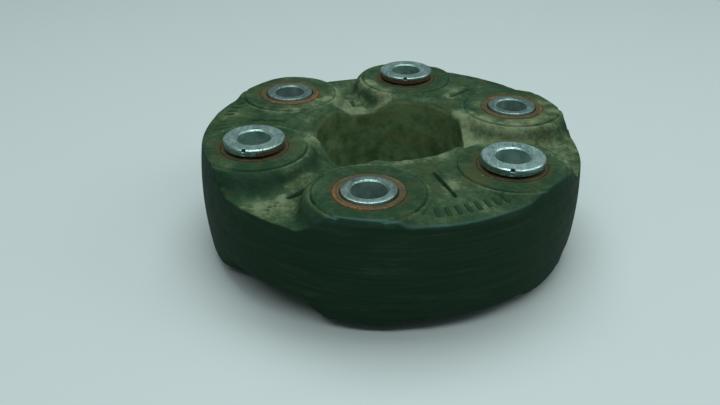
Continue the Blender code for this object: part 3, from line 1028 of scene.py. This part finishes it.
def cord_material():
    n = Nodes("cord")
    strands = n.noise(220.0, 2.0, 0.5, n.stretched(0.4, 0.4, 9.0))
    n.set(Base_Color=n.mix(n.ramp(strands, 0.4, 0.6), CORD_DARK, CORD_LIGHT), Roughness=0.85)
    n.bump((strands, 0.0004), (n.noise(1600.0), 0.0001))
    return n.material


# Assembly


def is_thick(side_deg):
    return any(abs(turn_between(side_deg, side)) < 1 for side in THICK_SIDES)


def loop_number(side_deg, level):
    """The number of the loop whose middle stands at this side, from the frame."""
    for number in (1, 2, 3):
        c = centre_of(f"cord_loop_{level}_{number}")
        if abs(turn_between(math.degrees(math.atan2(c.y, c.x)), side_deg)) < 5:
            return number
    raise ValueError(side_deg)


def paint_rubber(sector, on_pads):
    """Masks of a sector's dust with its painted shade and highlights, brown areas, stains, and the painted
    highlight along its top edge.
    """
    x, y, z = points_of(sector)
    set_mask(sector, "dust_and_shading", np.where(np.isnan(on_pads), dust_and_shading_at(x, y), on_pads))
    set_mask(sector, "warm", warm_at(x, y))
    set_mask(sector, "stain", stain_at(x, y))
    set_mask(sector, "edge_sheen", edge_sheen_at(x, y, z))


def make_loop_halves(kind, number, bush_deg, material):
    """The halves of cord loops that lie in one sector."""
    for side_deg in (bush_deg - HALF_SECTOR, bush_deg + HALF_SECTOR):
        for level in ("upper", "lower") if is_thick(side_deg) else ("middle",):
            loop = f"cord_loop_{level}_{loop_number(side_deg, level)}"
            half = loop_half(f"{loop}_at_{kind}_{number}", *LOOP_LEVELS[level], bush_deg, side_deg, material)
            follow_sleeve(half, bush_deg)
            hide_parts(loop)


def make_rubber(material, cord):
    for name, kind, number in SLEEVES:
        bush_deg = float(polar_of(*BUSH_AT[name])[1])
        sector, on_pads = sector_mesh(f"rubber_sector_{kind}_{number}", bush_deg, material)
        paint_rubber(sector, on_pads)
        follow_sleeve(sector, bush_deg)
        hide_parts("rubber_body")
        make_loop_halves(kind, number, bush_deg, cord)


def dress_spacers(material):
    for node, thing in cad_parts.items():
        if "spacer" in node:
            thing.data.materials.clear()
            thing.data.materials.append(material)


# Stage


FLOOR_SIZE = 4.0
FLOOR_COLOUR = (0.38, 0.44, 0.44, 1.0)
FLOOR_ROUGHNESS = 0.6
ROOM_COLOUR = (0.72, 0.88, 0.88, 1.0)
ROOM_STRENGTH = 0.22


def make_stage():
    half, z = FLOOR_SIZE / 2, cad_lo.z
    mesh = bpy.data.meshes.new("floor")
    corners = [(-half, -half, z), (half, -half, z), (half, half, z), (-half, half, z)]
    mesh.from_pydata(corners, [], [(0, 1, 2, 3)])
    floor = bpy.data.objects.new("floor", mesh)
    bpy.context.scene.collection.objects.link(floor)
    pale = bpy.data.materials.new("pale_floor")
    pale.use_nodes = True
    shader = pale.node_tree.nodes["Principled BSDF"]
    shader.inputs["Base Color"].default_value = FLOOR_COLOUR
    shader.inputs["Roughness"].default_value = FLOOR_ROUGHNESS
    mesh.materials.append(pale)

    world = bpy.data.worlds.new("studio")
    world.use_nodes = True
    world.node_tree.nodes["Background"].inputs["Color"].default_value = ROOM_COLOUR
    world.node_tree.nodes["Background"].inputs["Strength"].default_value = ROOM_STRENGTH
    bpy.context.scene.world = world
    bpy.context.scene.view_settings.view_transform = "Standard"


def add_area(name, azimuth, elevation, distance, size, power, colour):
    """A soft light that faces the object's middle, at an azimuth from +X and an elevation."""
    a, e = math.radians(azimuth), math.radians(elevation)
    toward = Vector((math.cos(a) * math.cos(e), math.sin(a) * math.cos(e), math.sin(e)))
    light = bpy.data.lights.new(name, "AREA")
    light.shape = "RECTANGLE"
    light.size, light.size_y = size
    light.energy = power
    light.color = colour
    thing = bpy.data.objects.new(name, light)
    thing.location = toward * distance
    thing.rotation_euler = toward.to_track_quat("Z", "Y").to_euler()
    bpy.context.scene.collection.objects.link(thing)


def make_lights():
    add_area("key", -80.0, 61.0, 0.9, (1.3, 0.2), 5.0, (0.95, 1.0, 0.99))
    add_area("overhead", 100.0, 74.0, 1.1, (1.0, 0.7), 11.0, (0.93, 1.0, 0.99))
    add_area("right", 10.0, 35.0, 1.2, (0.6, 0.6), 2.5, (0.95, 1.0, 0.99))


def make_camera():
    a, e = math.radians(CAMERA_BACK_AZIMUTH), math.radians(CAMERA_ELEVATION)
    back = Vector((math.sin(a) * math.cos(e), -math.cos(a) * math.cos(e), math.sin(e)))
    data = bpy.data.cameras.new("camera")
    data.lens = CAMERA_LENS
    data.sensor_width = SENSOR_WIDTH
    camera = bpy.data.objects.new("camera", data)
    camera.location = CAMERA_PLACE
    camera.rotation_euler = back.to_track_quat("Z", "Y").to_euler()
    bpy.context.scene.collection.objects.link(camera)
    bpy.context.scene.camera = camera


def main():
    make_camera()
    make_stage()
    make_lights()
    make_rubber(rubber_material(), cord_material())
    zinc, rust = zinc_material(), rust_material()
    for name, kind, number in SLEEVES:
        make_sleeve(name, kind, number, zinc)
        for level in ("upper", "lower"):
            make_collar(kind, level, number, rust)
    dress_spacers(nylon_material())


main()
